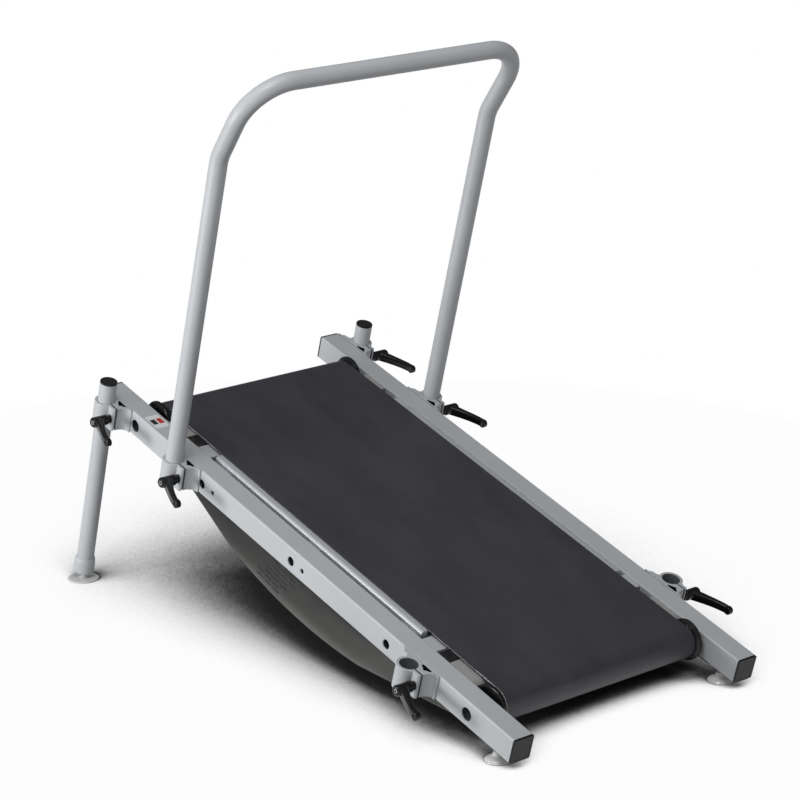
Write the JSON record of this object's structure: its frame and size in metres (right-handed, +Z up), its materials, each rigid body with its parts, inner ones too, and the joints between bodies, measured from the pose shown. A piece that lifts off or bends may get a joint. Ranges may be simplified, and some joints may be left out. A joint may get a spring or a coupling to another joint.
{
  "type": "pool treadmill",
  "caption": "Motorless treadmill for use in a pool: a walking belt over a deck between square rails, on clamped legs and suction feet, with a bent tube handrail and lever clamps.",
  "frame": {"origin": "on the floor under the middle of the bounding box", "axes": "+Z up, +Y forward, the way the walker faces and the deck rises, +X to the walker's right"},
  "size_m": [0.8558, 1.4644, 1.2334],
  "materials": {
    "silver_paint": "satin",
    "olive_sheet": "matte",
    "grey_plastic": "matte",
    "black_plastic": "satin gloss",
    "belt_rubber": "matte, fine diagonal grain",
    "steel": "bright",
    "bright_aluminium": "bright",
    "deck_board": "smooth",
    "clear_vinyl": "translucent"
  },
  "bodies": {
    "frame": {"rail_left": "silver_paint", "rail_right": "silver_paint", "rail_cap_front_left": "grey_plastic", "rail_cap_front_right": "grey_plastic", "rail_cap_rear_left": "grey_plastic", "rail_cap_rear_right": "grey_plastic", "cross_bar_rear": "silver_paint", "cross_bar_middle": "silver_paint", "cross_bar_front": "silver_paint", "tie_plate_front": "silver_paint", "tie_plate_rear": "silver_paint", "guard_plate_front": "olive_sheet", "guard_plate_rear": "olive_sheet", "belly_sheet": "olive_sheet", "slide_deck": "deck_board", "trim_strip_left": "bright_aluminium", "trim_strip_right": "bright_aluminium", "axle_front": "steel", "axle_rear": "steel", "walking_belt": "belt_rubber", "clamp_leg_left": "silver_paint", "clamp_leg_right": "silver_paint", "clamp_handrail_left": "silver_paint", "clamp_handrail_right": "silver_paint", "clamp_rear_left": "silver_paint", "clamp_rear_right": "silver_paint", "rear_foot_socket_left": "grey_plastic", "rear_foot_socket_right": "grey_plastic"},
    "front_roller": {"roller_drum_front": "steel", "roller_flange_front_left": "black_plastic", "roller_flange_front_right": "black_plastic"},
    "rear_roller": {"roller_drum_rear": "steel", "roller_flange_rear_left": "black_plastic", "roller_flange_rear_right": "black_plastic"},
    "handrail": {"handrail": "silver_paint"},
    "leg_left": {"leg_tube_left": "silver_paint", "leg_cap_left": "grey_plastic", "leg_sleeve_left": "silver_paint"},
    "pad_left": {"leg_pad_left": "clear_vinyl"},
    "foot_left": {"rear_foot_left": "clear_vinyl"},
    "leg_lever_left": {"clamp_lever_leg_left": "black_plastic", "clamp_stud_leg_left": "steel"},
    "handrail_lever_left": {"clamp_lever_handrail_left": "black_plastic", "clamp_stud_handrail_left": "steel"},
    "rear_lever_left": {"clamp_lever_rear_left": "black_plastic", "clamp_stud_rear_left": "steel"},
    "leg_right": {"leg_tube_right": "silver_paint", "leg_cap_right": "grey_plastic", "leg_sleeve_right": "silver_paint"},
    "pad_right": {"leg_pad_right": "clear_vinyl"},
    "foot_right": {"rear_foot_right": "clear_vinyl"},
    "leg_lever_right": {"clamp_lever_leg_right": "black_plastic", "clamp_stud_leg_right": "steel"},
    "handrail_lever_right": {"clamp_lever_handrail_right": "black_plastic", "clamp_stud_handrail_right": "steel"},
    "rear_lever_right": {"clamp_lever_rear_right": "black_plastic", "clamp_stud_rear_right": "steel"}
  },
  "joints": [
    {"name": "leg_slide_left", "type": "slide", "parent": "frame", "child": "leg_left", "axis": [0, -0.2776, 0.9607], "range_m": [-0.03, 0.18]},
    {"name": "pad_tilt_left", "type": "hinge", "parent": "leg_left", "child": "pad_left", "pos_m": [-0.3545, 0.69773, 0.017], "axis": [1, 0, 0], "range_deg": [-10, 25]},
    {"name": "rear_foot_tilt_left", "type": "hinge", "parent": "frame", "child": "foot_left", "pos_m": [-0.301, -0.65526, 0.0271], "axis": [1, 0, 0], "range_deg": [-6, 20]},
    {"name": "leg_slide_right", "type": "slide", "parent": "frame", "child": "leg_right", "axis": [0, -0.2776, 0.9607], "range_m": [-0.03, 0.18]},
    {"name": "pad_tilt_right", "type": "hinge", "parent": "leg_right", "child": "pad_right", "pos_m": [0.3545, 0.69773, 0.017], "axis": [1, 0, 0], "range_deg": [-10, 25]},
    {"name": "rear_foot_tilt_right", "type": "hinge", "parent": "frame", "child": "foot_right", "pos_m": [0.301, -0.65526, 0.0271], "axis": [1, 0, 0], "range_deg": [-6, 20]},
    {"name": "handrail_slide", "type": "slide", "parent": "frame", "child": "handrail", "axis": [0, -0.2776, 0.9607], "range_m": [-0.25, 0.02]},
    {"name": "leg_lever_turn_left", "type": "hinge", "parent": "frame", "child": "leg_lever_left", "pos_m": [-0.326, 0.54886, 0.4133], "axis": [-1, 0, 0], "range_deg": [0, 100]},
    {"name": "leg_lever_turn_right", "type": "hinge", "parent": "frame", "child": "leg_lever_right", "pos_m": [0.326, 0.54886, 0.4133], "axis": [1, 0, 0], "range_deg": [0, 100]},
    {"name": "handrail_lever_turn_left", "type": "hinge", "parent": "frame", "child": "handrail_lever_left", "pos_m": [-0.326, 0.2962, 0.34029], "axis": [-1, 0, 0], "range_deg": [0, 100]},
    {"name": "handrail_lever_turn_right", "type": "hinge", "parent": "frame", "child": "handrail_lever_right", "pos_m": [0.326, 0.2962, 0.34029], "axis": [1, 0, 0], "range_deg": [0, 100]},
    {"name": "rear_lever_turn_left", "type": "hinge", "parent": "frame", "child": "rear_lever_left", "pos_m": [-0.326, -0.48004, 0.11598], "axis": [-1, 0, 0], "range_deg": [0, 100]},
    {"name": "rear_lever_turn_right", "type": "hinge", "parent": "frame", "child": "rear_lever_right", "pos_m": [0.326, -0.48004, 0.11598], "axis": [1, 0, 0], "range_deg": [0, 100]},
    {"name": "front_roller_spin", "type": "hinge", "parent": "frame", "child": "front_roller", "pos_m": [0, 0.50831, 0.39872], "axis": [1, 0, 0], "continuous": true},
    {"name": "rear_roller_spin", "type": "hinge", "parent": "frame", "child": "rear_roller", "pos_m": [0, -0.59168, 0.08086], "axis": [1, 0, 0], "continuous": true}
  ],
  "couplings": [
    {"joint": "rear_roller_spin", "follows": "front_roller_spin", "ratio": 1}
  ]
}
